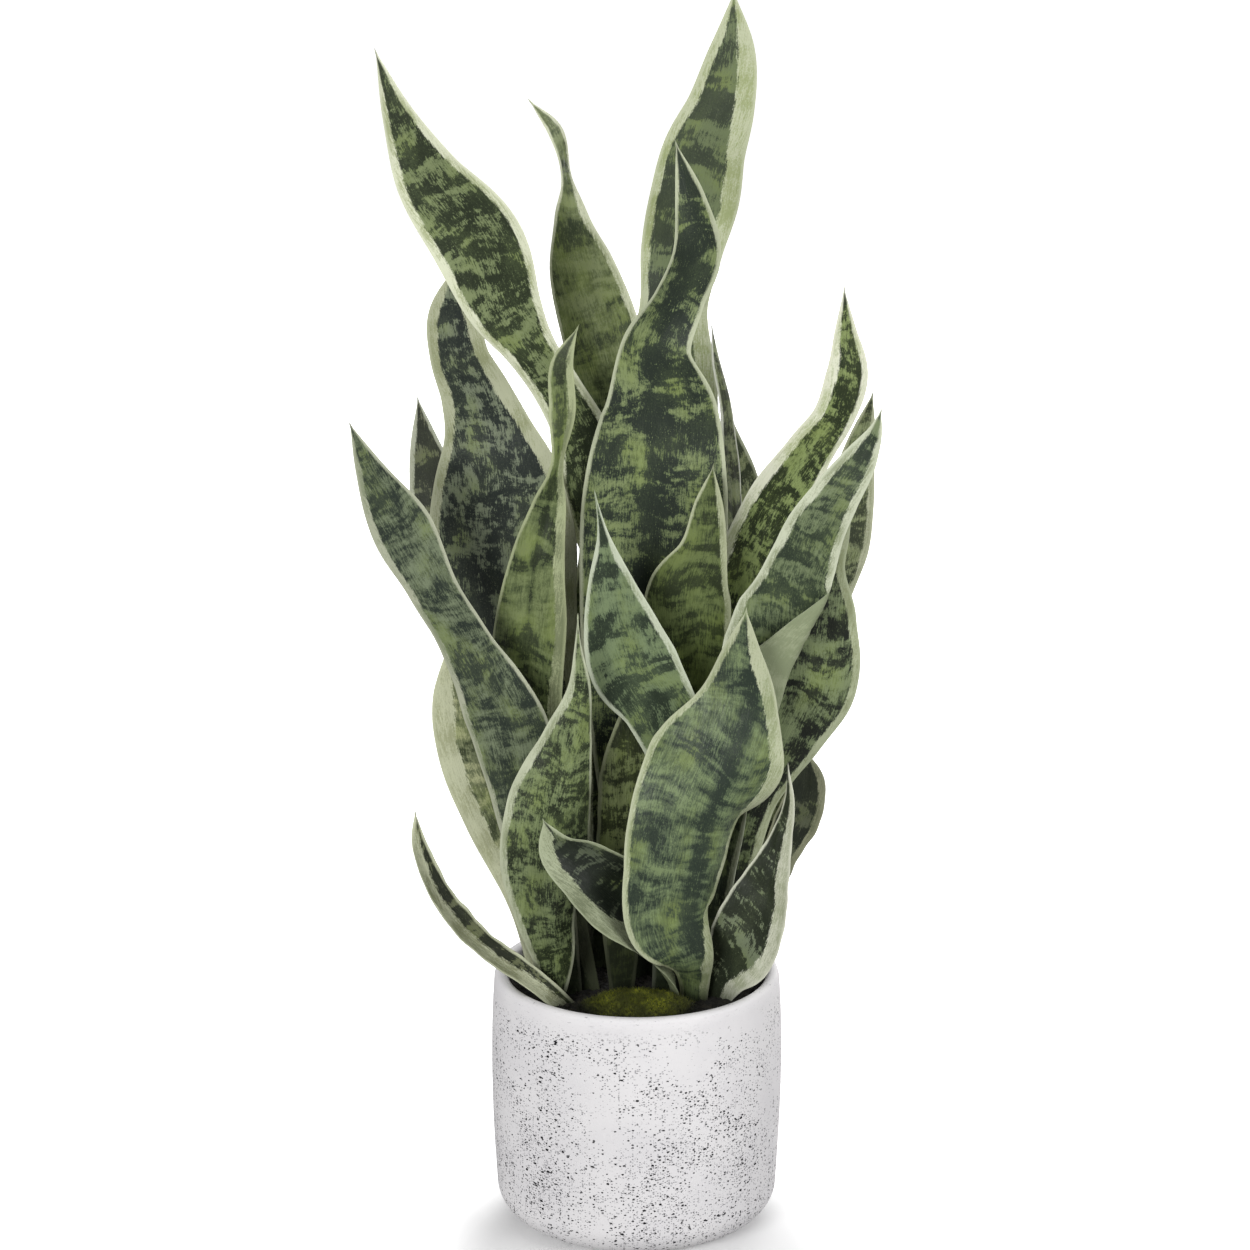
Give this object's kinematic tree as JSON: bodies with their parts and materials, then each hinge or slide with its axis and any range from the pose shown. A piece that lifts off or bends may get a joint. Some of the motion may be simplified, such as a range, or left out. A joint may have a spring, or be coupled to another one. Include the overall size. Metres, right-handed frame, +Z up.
{
  "type": "potted snake plant",
  "caption": "Potted snake plant: upright twisting variegated leaves with pale margins, standing in dark soil with moss in a round speckled light grey planter.",
  "frame": {"origin": "centre of the planter's flat underside, on the surface that it stands on", "axes": "+Z up along the planter's axis; -Y is the plant's front; +X is to the right when seen from the front"},
  "size_m": [0.2791, 0.16, 0.664],
  "materials": {
    "pot": "matte",
    "soil": "matte",
    "moss": "matte",
    "leaf": "satin"
  },
  "bodies": {
    "root": {"pot": "pot", "soil": "soil", "moss": "moss", "leaf_tall_right": "leaf", "leaf_tall_centre": "leaf", "leaf_tall_left": "leaf", "leaf_tall_twisted": "leaf", "leaf_broad_back_left": "leaf", "leaf_small_back_left": "leaf", "leaf_waisted_left": "leaf", "leaf_leaning_left": "leaf", "leaf_narrow_back_right": "leaf", "leaf_slim_back_right": "leaf", "leaf_tall_outer_right": "leaf", "leaf_back_outer_right": "leaf", "leaf_folded_right": "leaf", "leaf_broad_low_right": "leaf", "leaf_broad_front": "leaf", "leaf_bowl_front_right": "leaf", "leaf_low_back_right": "leaf", "leaf_pointed_centre": "leaf", "leaf_centre_right": "leaf", "leaf_front_left": "leaf", "leaf_inner_centre": "leaf", "leaf_short_front": "leaf", "leaf_low_left": "leaf", "leaf_pale_back_left": "leaf", "leaf_thin_low_left": "leaf"}
  },
  "joints": []
}
